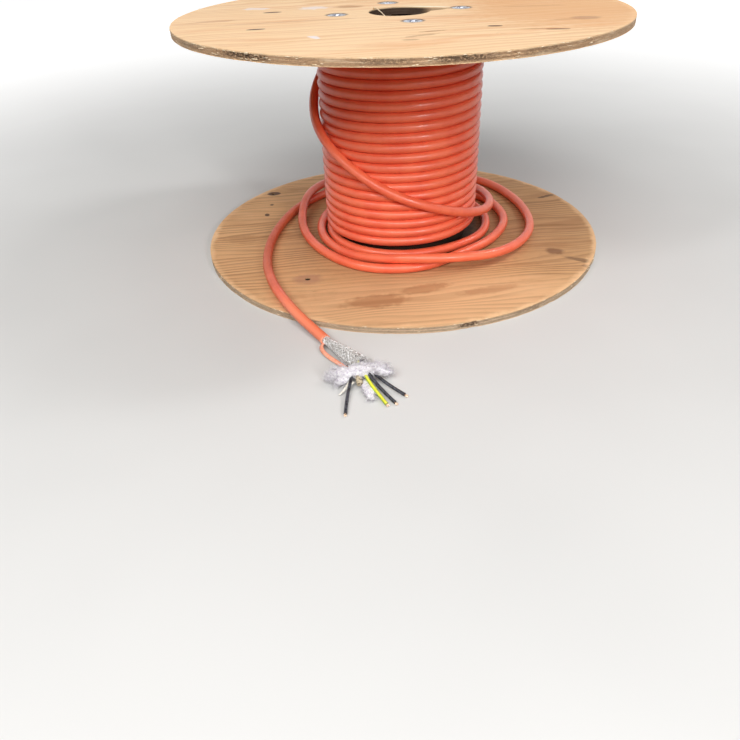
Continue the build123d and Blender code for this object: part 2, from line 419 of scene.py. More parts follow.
def plywood(name, face_height, tones, grain_degrees, ring_rate, ring_drift, contrast, marks, worn,
            rim_patches, shaded_bores):
    """Rotary-cut fir plywood: ring lines on its faces, and plies of crossed grain on its rim.

    The shown face lies at face_height. tones are those of the face's light rings, dark rings, worn
    places and blotches and of the rim's end grain and side grain. rim_patches are dark, splintered
    places of the rim: middle angle, half width in degrees, share. bores, each a centre and a
    radius, have their wall painted near black as painted shade.
    """
    light, dark, worn_tone, blotch_tone, end_tone, side_tone = tones
    grain = radians(grain_degrees)
    wood = Finish(name, 0.62, Specular_IOR_Level=0.28)
    place = wood.place
    leaning = place.vector("ADD", place.noise(5, 1).vector("MULTIPLY", (0, 0.03, 0)))
    along = leaning.stretched((1, 7, 1), grain)
    rings = along.noise(2.1, 2, 0.42) * ring_drift + along.part("Y") * ring_rate
    ring = rings.math("FRACT")
    late = ring.step(0.25, 0.86) * ring.step(0.998, 0.9)
    fibres = place.streaks((14, 520, 14), 3, 0.6, grain)
    threads = place.streaks((40, 1500, 40), 2, 0.6, grain)
    patches = place.streaks((4, 14, 4), 3, 0.55, grain)
    blotches = leaning.streaks((5, 30, 5), 4, 0.6, grain)
    flecks = place.streaks((75, 620, 75), 1, 0.5, grain)
    tone = late * (patches.step(0.3, 0.62, 0.25, 1) * contrast)
    tone = fibres.step(0.42, 0.7) * (0.2 * contrast) + tone
    tone = tone.math("ADD", threads.step(0.6, 0.78, 0, 0.14), clamped=True)
    face = tone.mix(light, dark)
    face = place.noise(4.5, 3, 0.6).over(face, worn_tone, 0.35, 0.75, 0.45)
    face = blotches.over(face, blotch_tone, 0.5, 0.7, 0.55)
    face = flecks.over(face, (120, 80, 50), 0.7, 0.8, 0.4)

    # Marks on the face: each a spot of its own tone
    for centre, reach, turn, tone_of_mark, share, ragged in marks:
        mask = place.spot(centre, reach, radians(turn), 0.16 if share >= 0.9 else 0.35, ragged)
        face = (mask * share).mix(face, tone_of_mark)

    # A lighter, scuffed band along the rim
    band = place.noise(38, 4, 0.65) * 0.022 + place.from_axis()
    band = band.step(flange_radius, flange_radius + 0.01)
    band = band * place.noise(9, 2).step(0.36, 0.6, 0.35, 1)
    face = (band * worn).mix(face, (250, 210, 162))

    # Plies of the rim: their grain runs along, then across, in turn
    depth = face_height - place.part("Z")
    ply = depth * (ply_count / flange_thickness)
    crossed = ply.math("FLOOR").math("PINGPONG", 1).math("GREATER_THAN", 0.5)
    facing = place.node("NewGeometry", {}, "Normal")
    facing = facing.vector("DOT_PRODUCT", (cos(grain), -sin(grain), 0)).math("ABSOLUTE")
    sideways = (1 - facing * facing).math("SQRT")
    end_grain = place.node("Mix", {0: crossed, 2: facing, 3: sideways})
    pores = place.streaks((260, 260, 900), 4, 0.7)
    rim = (end_grain * 0.85).mix(side_tone, end_tone)
    rim = pores.over(rim, (92, 66, 46), 0.5, 0.74, 0.6)
    rim = place.streaks((26, 26, 260), 4, 0.65).over(rim, (240, 214, 182), 0.48, 0.7, 0.6)
    rim = ply.math("PINGPONG", 0.5).over(rim, (96, 70, 52), 0.1, 0, 0.5)
    splintered = None
    for angle, half_width, share in rim_patches:
        reach = flange_radius * radians(half_width)
        patch = place.spot(
            placed(angle, flange_radius, 0), (reach, reach), ragged=0.9, ragged_scale=45,
        ) * share
        splintered = splintered.math("MAXIMUM", patch) if splintered else patch
    splintered = splintered * (depth.step(0.0008, 0.0016) * depth.step(0.0086, 0.0052))
    splintered = splintered * place.streaks((330, 330, 520), 3, 0.65).step(0.36, 0.56)
    rim = splintered.mix(rim, (84, 66, 50))
    shown_on = depth.math("LESS_THAN", flange_thickness - face_skin)
    # Painted shade: each bore's wall is painted near black, as deep inside a hole
    for centre, radius in shaded_bores:
        inside = place.spot(centre, (radius, radius), edge=0.1)
        shown_on = shown_on.math("MAXIMUM", inside)
        rim = (inside * 0.92).mix(rim, (36, 24, 19))
    rim = depth.over(rim, light, 0.0019, 0.0011, 0.6)
    inner = depth.math("GREATER_THAN", face_skin)
    shown = (inner * shown_on).mix(face, rim)

    ridged = (late * -0.5 + fibres * 0.9 + threads * 0.7).bump(0.00035, 0.55)
    coarse = (pores * inner).bump(0.0011, 0.8, ridged)
    return wood.use(Base_Color=shown, Roughness=fibres.step(0.3, 0.7, 0.5, 0.74), Normal=coarse)


def jacket_finish():
    """Orange polyurethane jacket: soft sheen, faint mottling, scuffs and dust, with painted shade
    on the tail's back-left part and a painted pool of light on the tail's front.
    """
    jacket = Finish("orange_jacket", 0.32, Specular_IOR_Level=0.6)
    place = jacket.place
    dusty = place.noise(75, 4, 0.7)
    # Dust, a rougher skin and painted shade on the tail's back-left part
    shade_and_dust = place.spot((-0.232, -0.02), (0.074, 0.2), 0, 0.4, 0.5, 30)
    # Painted light: a paler patch where the tail's front catches the light
    painted_light_patch = place.spot((-0.135, -0.3), (0.075, 0.062), 0, 0.5, 0.3, 30)
    tone = place.noise(26, 3, 0.6).over((250, 120, 84), (242, 103, 71), 0.35, 0.68)
    tone = place.noise(210, 3, 0.65).over(tone, (206, 80, 56), 0.5, 0.75, 0.04)
    tone = (dusty.step(0.44, 0.66) * (shade_and_dust * 0.22 + 0.015)).mix(tone, (120, 84, 62))
    # Painted shade: the tail's back-left part darkened to a dull brown
    tone = (shade_and_dust * 0.66).mix(tone, (176, 80, 44))
    tone = place.noise(130, 4, 0.75, 0.6).over(tone, (250, 170, 140), 0.64, 0.78, 0.2)
    # Painted light on the tail's front
    tone = (painted_light_patch * 0.55).mix(tone, (255, 152, 112))
    rough = dusty.step(0.35, 0.7, 0.29, 0.43) + shade_and_dust * 0.16
    skin = place.noise(900, 2, 0.6).bump(0.00002, 0.3)
    waves = place.noise(45, 0, 0.5).bump(0.0004, 0.2, skin)
    return jacket.use(Base_Color=tone, Roughness=rough, Normal=waves)


def metal_finish(name, light, dark, roughness, scale, bump_depth, metallic=1):
    """Bright metal with a grain of tarnish and fine scratches."""
    metal = Finish(name, roughness, Metallic=metallic)
    grain = metal.place.noise(scale, 4, 0.7)
    streaks = metal.place.streaks((scale, scale * 5, scale * 3), 3, 0.6, 0.6)
    rough = streaks.step(0.3, 0.7, roughness * 0.75, roughness * 1.35)
    tone = grain.over(light, dark, 0.44, 0.58)
    return metal.use(Base_Color=tone, Roughness=rough, Normal=grain.bump(bump_depth, 0.5))


def fibre_board_finish():
    """Brown fibre tube, wound of paper: a spiral seam and a matt, mottled skin, with painted shade
    inside the tube and low on its outside.
    """
    seam_pitch = 0.14
    board = Finish("fibre_board", 0.82, Specular_IOR_Level=0.2)
    east, north, height = (board.place.part(axis) for axis in "XYZ")
    spiral = height * (1 / seam_pitch) + north.math("ARCTAN2", east) * (1 / tau)
    seam = spiral.math("FRACT").math("PINGPONG", 0.5).step(0.016, 0)
    mottle = board.place.noise(60, 5, 0.7)
    tone = mottle.over((150, 112, 78), (118, 84, 58), 0.35, 0.68)
    tone = (seam * 0.8).mix(tone, (64, 44, 30))
    # Painted shade: the inside of the tube near black
    tone = board.place.from_axis().over(tone, (24, 17, 13), 0.0975, 0.0965)
    # Painted shade: the tube near black below the winding, down to the lower flange
    tone = height.over(tone, (16, 11, 9), 0.046, 0.034, 0.92)
    return board.use(Base_Color=tone, Normal=(mottle - seam).bump(0.0006, 0.6))


def mottled_finish(name, light, dark, roughness, grain, steps, bump, spread=(1, 1), **sockets):
    """Two tones mottled by one noise, which also roughens and lifts the surface."""
    made = Finish(name, roughness, **sockets)
    mottle = made.place.noise(*grain)
    rough = mottle.step(0.3, 0.7, roughness * spread[0], roughness * spread[1])
    tone = mottle.over(light, dark, *steps)
    return made.use(Base_Color=tone, Roughness=rough, Normal=mottle.bump(*bump))


def plastic_finish(name, main, second, roughness, scale):
    """Smooth insulation with faint streaks."""
    return mottled_finish(
        name, main, second, roughness, (scale, 3, 0.6), (0.35, 0.7), (0.00008, 0.5), (0.8, 1.3),
    )


def cloth_fibre_finish(name, main, second, soft):
    """Loose white fibres, or the paper of a tape."""
    return mottled_finish(
        name, main, second, 0.9, (420, 4, 0.7), (0.48, 0.6), (0.0006, 0.7),
        Specular_IOR_Level=0.1, Sheen_Weight=soft, Sheen_Roughness=0.5,
    )


# Marks on the flanges' shown faces: centre, reach, turn in degrees, tone, share, raggedness
slit = (60, 34, 18)
stain = (112, 108, 114)
rust_brown = (150, 96, 52)
pale_scar = (240, 234, 240)
nut_shadow_ring = (132, 114, 100)
top_marks = [
    ((-0.175, 0.033), (0.0125, 0.0044), 4, slit, 0.97, 0.6),
    ((-0.183, -0.106), (0.0115, 0.004), 8, slit, 0.97, 0.6),
    ((0.104, -0.146), (0.009, 0.0046), -6, slit, 0.97, 0.6),
    ((0.17, -0.182), (0.013, 0.0036), -10, slit, 0.95, 0.6),
    ((0.152, -0.176), (0.02, 0.003), -6, rust_brown, 0.55, 0.8),
    ((0.221, -0.112), (0.0165, 0.012), 0, stain, 0.8, 0.9),
    ((0.196, -0.118), (0.022, 0.006), 6, (150, 104, 84), 0.45, 0.9),
    ((-0.108, -0.177), (0.005, 0.01), 20, pale_scar, 0.8, 2.4),
    ((-0.12, 0.06), (0.02, 0.012), 0, pale_scar, 0.6, 2.6),
    ((-0.202, 0.075), (0.017, 0.011), 0, pale_scar, 0.62, 3),
    ((-0.069, 0.061), (0.019, 0.012), 0, rust_brown, 0.5, 0.5),
    ((0.029, -0.165), (0.016, 0.0036), 14, rust_brown, 0.55, 1.4),
    ((0.014, -0.19), (0.02, 0.005), 24, rust_brown, 0.45, 1.5),
    ((0, -0.214), (0.009, 0.004), 0, rust_brown, 0.5, 0.6),
    ((0.18, 0), (0.045, 0.006), -4, rust_brown, 0.4, 0.9),
    ((0.06, -0.06), (0.035, 0.004), -3, rust_brown, 0.22, 0.9),
    ((-0.245, -0.03), (0.03, 0.007), 10, (190, 128, 92), 0.55, 0.9),
    ((-0.14, -0.055), (0.09, 0.005), 6, (196, 140, 104), 0.45, 0.8),
    ((0.22, 0.01), (0.13, 0.19), 0, (218, 158, 102), 0.62, 0.6),
    ((0.04, 0.033), (0.035, 0.0036), -23, (255, 247, 220), 0.95, 0.5),
]
# Painted shadow: a dark ring round each tee nut's plate, where it sits sunk in the face
top_marks += [((x, y), (0.0152, 0.0152), 0, nut_shadow_ring, 0.9, 0.1) for x, y, _ in rod_centres]
bottom_marks = [
    ((0.03, -0.25), (0.23, 0.075), 0, (250, 204, 158), 0.36, 0.5),
    ((0.235, 0.03), (0.11, 0.2), 0, (138, 100, 62), 0.26, 0.4),
    # Painted shade round the barrel, where the winding and loose turns shade the face: a soft dark
    # ring, then a near-black disc
    ((0, 0), (0.175, 0.175), 0, (96, 72, 50), 0.34, 0.3),
    ((0, 0), (0.126, 0.126), 0, (36, 25, 18), 0.92, 0.2),
    ((-0.222, 0.176), (0.012, 0.0085), 0, (58, 32, 24), 0.9, 0.3),
    ((-0.225, 0.078), (0.0042, 0.006), 10, slit, 0.9, 0.9),
    ((-0.221, 0.123), (0.003, 0.004), 0, slit, 0.75, 0.9),
    ((0.263, 0.114), (0.015, 0.004), 24, slit, 0.7, 1.6),
    ((0.224, -0.105), (0.013, 0.01), -10, (120, 78, 52), 0.75, 0.8),
    ((0.263, -0.142), (0.03, 0.006), -32, (104, 76, 52), 0.7, 0.8),
    ((0.262, -0.158), (0.01, 0.005), -20, (96, 60, 44), 0.6, 0.8),
    ((-0.142, -0.164), (0.02, 0.015), 0, (168, 122, 100), 0.55, 0.6),
    ((-0.045, -0.235), (0.042, 0.016), 8, (164, 108, 68), 0.55, 1.1),
    ((0.02, -0.205), (0.036, 0.011), 14, (164, 108, 68), 0.5, 1.1),
    ((0.11, -0.215), (0.04, 0.009), 12, (168, 112, 72), 0.4, 1.1),
    ((-0.255, -0.02), (0.026, 0.014), 0, (160, 112, 66), 0.4, 1.2),
]

top_plywood = plywood(
    "top_plywood", drum_height,
    ((246, 212, 170), (214, 160, 112), (238, 196, 150), (228, 168, 120),
     (168, 134, 102), (212, 174, 136)),
    -7, 8, 6, 0.5, top_marks, 0.45,
    [(-125.5, 6.5, 0.95), (-96, 5, 0.6), (-81, 5.5, 0.9), (-64, 4, 0.45),
     (-146, 5, 0.45), (20, 8, 0.6), (75, 9, 0.8), (128, 10, 0.6)],
    [((0, 0), 0.049)],
)
bottom_plywood = plywood(
    "bottom_plywood", flange_thickness,
    ((220, 174, 126), (152, 110, 70), (224, 180, 130), (172, 122, 78),
     (176, 152, 126), (220, 190, 160)),
    -6, 13, 8, 0.8, bottom_marks, 0.8,
    [(-77, 2.5, 0.9), (-118, 5, 0.35), (-60, 4, 0.4), (40, 8, 0.6), (95, 8, 0.7),
     (150, 9, 0.6)],
    [((0, 0), 0.072), ((-0.1424, -0.1638), 0.005), ((-0.2238, 0.1748), 0.005)],
)
orange_jacket = jacket_finish()
fibre_board = fibre_board_finish()
jacket_inside = mottled_finish(
    "jacket_inside", (255, 186, 156), (248, 150, 120), 0.55, (340, 3, 0.6), (0.35, 0.7),
    (0.0002, 0.5),
)
zinc_steel = metal_finish("zinc_steel", (206, 210, 220), (92, 96, 110), 0.34, 240, 0.00012)
tinned_wire = metal_finish("tinned_wire", (255, 255, 255), (184, 178, 173), 0.3, 500, 0.00004, 0.2)
copper_wire = metal_finish("copper_wire", (252, 236, 214), (226, 180, 144), 0.34, 900, 0.00004)
black_insulation = plastic_finish("black_insulation", (34, 34, 40), (74, 76, 86), 0.26, 260)
earth_green = plastic_finish("earth_insulation_green", (186, 220, 48), (160, 204, 44), 0.4, 260)
earth_yellow = plastic_finish("earth_insulation_yellow", (240, 238, 70), (230, 228, 58), 0.4, 260)
splinter_wood = plastic_finish("splinter_wood", (253, 238, 210), (214, 180, 138), 0.8, 500)
white_fleece = cloth_fibre_finish("white_fleece", (246, 244, 247), (208, 200, 214), 0.4)
separator_tape = cloth_fibre_finish("separator_tape", (240, 236, 226), (222, 214, 200), 0.1)
jute_filler = cloth_fibre_finish("jute_filler", (216, 200, 170), (86, 70, 52), 0.1)
bundle_tape = cloth_fibre_finish("separator_dark", (206, 202, 199), (112, 108, 105), 0)


def cable_points():
    """The cable's control points: the winding's turns from a loop, then the loose end's route."""
    draw = random.Random(7)
    points = []
    step = 360 / points_a_turn
    count = round(winding_revolutions * points_a_turn)
    start = winding_end_angle - winding_revolutions * 360
    outward = 2 / (1 + cos(radians(step)))
    for index in range(count):
        height = winding_end_height - (count - index) * turn_pitch / points_a_turn
        sunk = 1 - smooth_step(0, lead_out_degrees, index * step)
        radius = turn_centre_radius * outward - sunk * (turn_centre_radius - barrel_wall_radius)
        settled = smooth_step(0, 180, index * step) * smooth_step(0, 180, (count - index) * step)
        radius += settled * draw.uniform(0, turn_sway)
        height += settled * draw.uniform(-turn_rise, turn_rise)
        points.append(placed(start + index * step, radius, height))
    return points + [
        placed(angle, radius, *(height or [lying_height]))
        for angle, radius, *height in cable_route
    ]


def wear_at(angle, arcs):
    """How worn the rim is at an angle, from arcs of (middle, half width, depth)."""
    wear = 0
    for middle, half_width, depth in arcs:
        away = abs((angle - middle + 180) % 360 - 180)
        wear = max(wear, depth * (1 - smooth_step(half_width * 0.5, half_width * 1.3, away)))
    return wear


def rim_body(low, high, arcs, base_wear, seed):
    """A disc a little thicker than a flange, with the flange's worn rim, to cut the flange by."""
    steps = 1500
    spare = 0.002
    inner_radius = 0.27
    levels = [
        (ply, (ply + share) / ply_count)
        for ply in range(ply_count) for share in (0.04, 0.35, 0.65, 0.96)
    ]
    sections = []
    for step in range(steps):
        angle = 360 * step / steps
        outward = placed(angle, 1, 0)
        spot = outward * flange_radius + up(seed)
        wear = base_wear + wear_at(angle, arcs)
        flake = clamp(noise_at(spot, 38, 9, 0, seed) - 0.4 + wear * 130)
        under_chip = clamp(noise_at(spot, 46, 0, 5, seed) - 0.3 + wear * 110)

        # The section's points, from under the disc round its rim to its top: radius and height
        section = [(inner_radius, low - spare), (flange_radius - 0.006, low - spare)]
        for back, share in ((0.0045, 0.25), (0.003, 0.55), (0.0018, 0.8)):
            rise = -0.0004 + under_chip * share * 0.0017
            section.append((flange_radius - back, low + rise))
        for ply, share in levels:
            torn = noise_at(spot, 60, ply * 3.7, 0, seed)
            fine = abs(noise_at(spot, 420, 0, ply * 2.3, share * 6))
            strand = abs(noise_at(spot, 1300, ply * 5.1, 3, share * 4))
            back = 0.0002 + wear * (0.35 + max(0, torn)) + fine * (0.0003 + wear * 0.55)
            back += strand * (0.0003 + wear * 0.25)
            if ply == ply_count - 1:
                back += flake * 0.0016
            if ply == 0:
                back += under_chip * 0.0015
            section.append((flange_radius - back, low + (high - low) * share))
        for back, share in ((0.0016, 0.95), (0.0026, 0.8), (0.0042, 0.5), (0.006, 0.2)):
            ragged = 0.5 + abs(noise_at(spot, 300, 1, back * 900, seed))
            drop = 0.0004 - flake * share * 0.0019 * ragged
            section.append((flange_radius - back, high + drop))
        section += [(flange_radius - 0.0075, high + spare), (inner_radius, high + spare)]
        sections.append([outward * radius + up(height) for radius, height in section])
    shape = Shape()
    shape.skin(sections, round_axis=True, closed=False)
    return shape.piece("rim_body", smooth=False)


def worn_flange(side, material, base_wear, seed):
    """The flange's own solid, cut back at its rim where the plies are chipped and worn."""
    node = f"{side}_flange"
    name = f"{side}_plywood_flange"
    low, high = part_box(node)
    body = rim_body(low.z, high.z, rim_wear[side], base_wear, seed)
    source = linked("flange_source", nodes[node].data.copy())
    cut = source.modifiers.new("rim", "BOOLEAN")
    cut.operation = "INTERSECT"
    cut.solver = "EXACT"
    cut.object = body
    graph = bpy.context.evaluated_depsgraph_get()
    mesh = bpy.data.meshes.new_from_object(source.evaluated_get(graph))
    mesh.name = name
    mesh.materials.clear()
    mesh.shade_flat()
    made = linked(name, mesh)
    bpy.data.objects.remove(source)
    bpy.data.objects.remove(body)
    attach(made, material)
    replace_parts(made, node)


def splinters(side, count, seed):
    """Slivers torn loose along a flange's rim."""
    low, high = (corner.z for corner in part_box(f"{side}_flange"))
    draw = random.Random(seed)
    shape = Shape()
    while count:
        angle = draw.uniform(0, 360)
        if draw.random() > 0.12 + wear_at(angle, rim_wear[side]) * 700:
            continue
        count -= 1
        outward = placed(angle, 1, 0)
        along = Vector((-outward.y, outward.x, 0)) * draw.choice((-1, 1))
        in_rim = draw.uniform(low + 0.0005, high - 0.0005)
        at_top = high - draw.uniform(0.0002, 0.0012)
        root = outward * (flange_radius - 0.0009) + up(draw.choice((in_rim, at_top)))
        length = draw.uniform(0.0025, 0.0085)
        lift = draw.uniform(-0.1, 0.16)
        bow = draw.uniform(0.0002, 0.0016)
        path = [
            root + along * length * share + outward * bow * sin(share * 2.4)
            + up(length * lift * share)
            for share in (0, 0.3, 0.65, 1)
        ]
        thick = draw.uniform(0.00022, 0.00055)
        shape.tube(path, [thick, thick * 1.1, thick * 0.7, thick * 0.12], 4, flat=0.55)
    attach(shape.piece(f"{side}_rim_splinters", smooth=False), splinter_wood)


def tee_nuts(name, node, height, inward):
    """Four tee nuts: a domed plate with punched tongues, and a short threaded barrel."""
    segments = 72
    plate_radius = 0.013
    plate = 0.0016
    barrel = 0.00625
    deep = 0.0086
    bore = rod_radius + 0.00035
    tongue_radius = 0.0102
    tongue_turn = 22
    outline = [
        (bore + 0.0007, 0), (bore + 0.0022, 0.00004), (plate_radius - 0.0016, 0.0001),
        (plate_radius - 0.0005, 0.00032), (plate_radius, 0.00075), (plate_radius, plate - 0.0001),
        (plate_radius - 0.0003, plate), (barrel + 0.0006, plate), (barrel, plate + 0.0006),
        (barrel, deep - 0.0003), (barrel - 0.0003, deep), (bore + 0.0003, deep),
        (bore, deep - 0.0004), (bore, 0.0008),
    ]
    tongue_levels = [
        (0.00002, 0.0017, 0.001), (0.0001, 0.0019, 0.0011), (0.004, 0.0016, 0.0008),
        (0.0072, 0.0005, 0.0004),
    ]
    shape = Shape()
    for centre in rod_centres:
        shape.skin([
            [(centre.x + radius * cos(turn), centre.y + radius * sin(turn),
              height + inward * depth) for radius, depth in outline[::inward]]
            for turn in turns(segments)
        ], round_axis=True, caps=False)
        for tongue in range(4):
            out = placed(90 * tongue + tongue_turn, 1, 0)
            side = Vector((-out.y, out.x, 0))
            middle = Vector((centre.x, centre.y, 0)) + out * tongue_radius
            shape.skin([
                [middle + side * wide * across + out * thick * outer + up(height + inward * depth)
                 for across, outer in ((1, 1), (-1, 1), (-1, -1), (1, -1))]
                for depth, wide, thick in tongue_levels[::-inward]
            ])
    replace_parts(attach(shape.piece(name), zinc_steel), node)


def tie_rod(number, centre):
    """A steel rod with a rolled thread at each end and a plain middle."""
    thread_pitch = 0.0015875
    thread_length = 0.04
    thread_depth = 0.00055
    run_out_from = thread_length - 0.004
    run_out_to = thread_length - 0.0005
    plain_from = thread_length + 0.001
    chamfer = 0.0008
    sides = 28
    rows_a_pitch = 6
    row = thread_pitch / rows_a_pitch
    count = int(thread_length / row)
    heights = [rod_base + row * index for index in range(count)]
    heights += [rod_base + plain_from, rod_top - plain_from]
    heights += [rod_top - row * index for index in range(count)][::-1]
    rings = []
    for height in heights:
        from_end = min(height - rod_base, rod_top - height)
        run_out = 1 - smooth_step(run_out_from, run_out_to, from_end)
        ring = []
        for step in range(sides):
            share = step / sides
            phase = (height / thread_pitch - share) % 1
            cut = thread_depth * (1 - abs(phase * 2 - 1)) * run_out
            radius = rod_radius - cut - max(0, chamfer - from_end) * 0.8
            turn = tau * share
            ring.append((centre.x + radius * cos(turn), centre.y + radius * sin(turn), height))
        rings.append(ring)
    shape = Shape()
    shape.skin(rings)
    made = attach(shape.piece(f"threaded_rod_{number}"), zinc_steel)
    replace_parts(made, f"tie_rod_{number}")


# The stripped end: where its braid starts and ends, and its own directions
jacket_end = Vector((-0.1117, -0.3243, 0.0082))
braid_mouth = Vector((-0.071, -0.38, 0.0112))
end_along = (braid_mouth - jacket_end).normalized()
end_side, end_up = square_to(end_along)
floor_gap = 0.0005


def braid_place(share, turn, out):
    """A point on the braid: share of its length, turn about it and distance from its line."""
    line = jacket_end.lerp(braid_mouth, share)
    return line + end_side * out * cos(turn) + end_up * out * sin(turn)


def braid_radius(share):
    """The braid's outline: narrow in the jacket's mouth, widest just before its own mouth."""
    swell = smooth_step(0, 0.9, share)
    return 0.0049 + 0.0051 * swell - 0.0005 * smooth_step(0.9, 1, share)


def shield_braid():
    """Tinned wires woven one carrier over, one under, and frayed at the mouth."""
    draw = random.Random(19)
    shape = Shape()
    carriers = 12
    wires = 5
    wire_radius = 0.00021
    wire_spacing = 0.00047
    steps = 48
    twist = tau * 0.95
    lift = 0.00042
    for way in (1, -1):
        for carrier in range(carriers):
            for wire in range(wires):
                middle = (wire - (wires - 1) / 2) * wire_spacing
                fray = draw.uniform(0, 0.16)
                flare = draw.uniform(-0.0004, 0.0032)
                stray = draw.uniform(-0.5, 0.5)
                path = []
                for step in range(steps + 1):
                    share = -0.01 + (1.01 + fray) * step / steps
                    out = braid_radius(min(share, 1))
                    turn = tau * carrier / carriers + way * twist * share + middle / out
                    out += way * lift * cos(pi * 2 * twist * share * carriers / tau)
                    loose = smooth_step(0.93, 1.16, share)
                    place = braid_place(share, turn + loose * stray, out + loose * flare)
                    place.z = max(place.z, 0.0004)
                    path.append(place)
                shape.tube(path, wire_radius, 4)
    made = attach(shape.piece("shield_braid_wires"), tinned_wire)
    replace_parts(made, "shield_braid")


def taped_bundle():
    """What the braid covers: the taped bundle of cores."""
    rows = 24
    sides = 28
    rings = []
    for row in range(rows + 1):
        share = row / rows - 0.01
        out = braid_radius(share) - 0.0009
        rings.append([
            braid_place(share, tau * side / sides, out * (1 + 0.03 * sin(side * 1.7 + row * 0.6)))
            for side in range(sides)
        ])
    shape = Shape()
    shape.skin(rings)
    attach(shape.piece("taped_bundle"), bundle_tape)


def fuzz(shape, draw, rings, along, count, reach):
    """Fine curled fibres that stand off a lump of fleece, given by its rings."""
    thick = 0.0002
    for _ in range(count):
        row = draw.randrange(1, len(rings) - 1)
        place = draw.choice(rings[row])
        middle = sum(rings[row], Vector()) / len(rings[row])
        outward = (place - middle).normalized()
        lean = Vector((draw.gauss(0, 1), draw.gauss(0, 1), draw.gauss(0, 0.7))) * 0.38
        away = (outward * 0.42 + along * draw.uniform(0.5, 1.4) + lean).normalized()
        swing = Vector((draw.gauss(0, 1), draw.gauss(0, 1), draw.gauss(0, 0.6))) * reach * 0.16
        phase = draw.uniform(0, tau)
        length = reach * draw.uniform(0.45, 1.15)
        radius = thick * draw.uniform(0.7, 1.2)
        path = []
        for share in shares(5):
            point = place - outward * 0.0006 + away * length * share
            point += swing * sin(phase + share * 4.5) * share
            point.z = max(point.z, floor_gap)
            path.append(point)
        shape.tube(path, [radius] * 5 + [radius * 0.3], 3)


def lump_rings(start, tip, spread, flatness, seed):
    """The rings of one soft, uneven lump of fleece from a start to a tip."""
    side, above = square_to((tip - start).normalized())
    rings = []
    for share in shares(16):
        middle = start.lerp(tip, share)
        out = spread * max(sin(pi * (0.1 + 0.88 * share)), 0.02) ** 0.55
        ring = []
        for turn in turns(26):
            skin = middle + spoke(side, above, turn) * out
            rough = 1 + 0.42 * noise_at(skin, 300, 0, 0, seed)
            rough += 0.22 * noise_at(skin, 900, seed, 0, 0)
            point = middle + (side * cos(turn) + above * sin(turn) * flatness) * out * rough
            point.z = max(point.z, floor_gap)
            ring.append(point)
        rings.append(ring)
    return rings


def fleece():
    """The filler fleece: soft lumps pulled out of the braid's mouth, covered with fine fibres."""
    draw = random.Random(31)
    fibres = Shape()
    lumps = Shape()
    for number, (start, tip, spread, flatness, count) in enumerate(fleece_lumps):
        start, tip = Vector(start), Vector(tip)
        rings = lump_rings(start, tip, spread, flatness, number * 3.7)
        lumps.skin(rings)
        fuzz(fibres, draw, rings, (tip - start).normalized(), count, spread * 1.35)
    made = attach(fibres.piece("fleece_fibres"), white_fleece)
    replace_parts(made, "filler_fleece")
    attach(lumps.piece("fleece_lumps"), white_fleece)


def core(name, insulation):
    """One insulated core with a few millimetres of bare strands at its tip."""
    points = [Vector(point) for point in core_routes[name]]
    sleeve = spline_piece(f"{name}_insulation", points, core_diameter, 10, 5)
    attach(sleeve, insulation)
    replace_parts(sleeve, name)
    tip = points[-1]
    along = heading(points, len(points) - 1)
    side, above = square_to(along)
    draw = random.Random(name)
    shape = Shape()

    # The strands lie as one in the middle, then a ring of six and a ring of twelve
    for strands, out in ((1, 0), (6, 0.00052), (12, 0.00104)):
        for turn in turns(strands):
            off = spoke(side, above, turn) * out
            splay = off * draw.uniform(0.1, 0.7)
            length = draw.uniform(0.0026, 0.004)
            base = tip + off
            path = [base - along * 0.0015, base + along * length * 0.5]
            shape.tube(path + [base + along * length + splay], 0.00024, 6)
    attach(shape.piece(f"{name}_strands"), copper_wire)


def earth_stripes():
    """The yellow stripe laid along the green earth core, each side."""
    line = smooth_line(core_routes["core_earth"], 10)
    half_width = radians(62)
    proud = core_diameter / 2 + 0.00004
    sunk = core_diameter / 2 - 0.0003
    shape = Shape()
    for middle_turn in (radians(75), radians(255)):
        rings = []
        for index, point in enumerate(line):
            side, above = square_to(heading(line, index))
            rings.append([
                point + spoke(side, above, middle_turn + half_width * share) * out
                for out, across in ((proud, (-1, -0.5, 0, 0.5, 1)), (sunk, (1, 0, -1)))
                for share in across
            ])
        shape.skin(rings)
    attach(shape.piece("earth_stripes"), earth_yellow)


def ribbon(name, points, widths, thick, lean, material):
    """A bent strip along a smooth line; widths and lean go from the line's start to its end."""
    line = smooth_line(points, 8)
    rings = []
    for index, point in enumerate(line):
        share = index / (len(line) - 1)
        along = heading(line, index)
        side, above = square_to(along)
        wide = spoke(side, above, radians(lean[0] + (lean[1] - lean[0]) * share))
        proud = wide.cross(along)
        half = wide * (widths[0] + (widths[1] - widths[0]) * share) / 2
        face = proud * thick / 2
        rings.append([
            point + half + face, point + proud * thick * 0.75, point - half + face,
            point - half - face, point - proud * thick * 0.35, point + half - face,
        ])
    shape = Shape()
    shape.skin(rings)
    attach(shape.piece(name), material)


def jacket_rim():
    """The cut edge of the jacket, a little ragged, round the braid's neck."""
    inner = 0.0052
    outer = cable_diameter / 2
    rings = []
    for depth, radius in (
        (-0.004, outer + 0.00004), (0, outer + 0.00006), (0.0003, outer - 0.0002),
        (0.0003, inner + 0.0001), (-0.003, inner),
    ):
        ring = []
        for turn in turns(48):
            rough = 0.0005 * noise_at(Vector((cos(turn), sin(turn), 0.3)), 2.4, 0, 0, 0)
            place = jacket_end + end_along * (depth + (rough if depth >= 0 else 0))
            ring.append(place + end_side * radius * cos(turn) + end_up * radius * sin(turn))
        rings.append(ring)
    shape = Shape()
    shape.skin(rings, caps=False)
    attach(shape.piece("jacket_cut_edge"), jacket_inside)


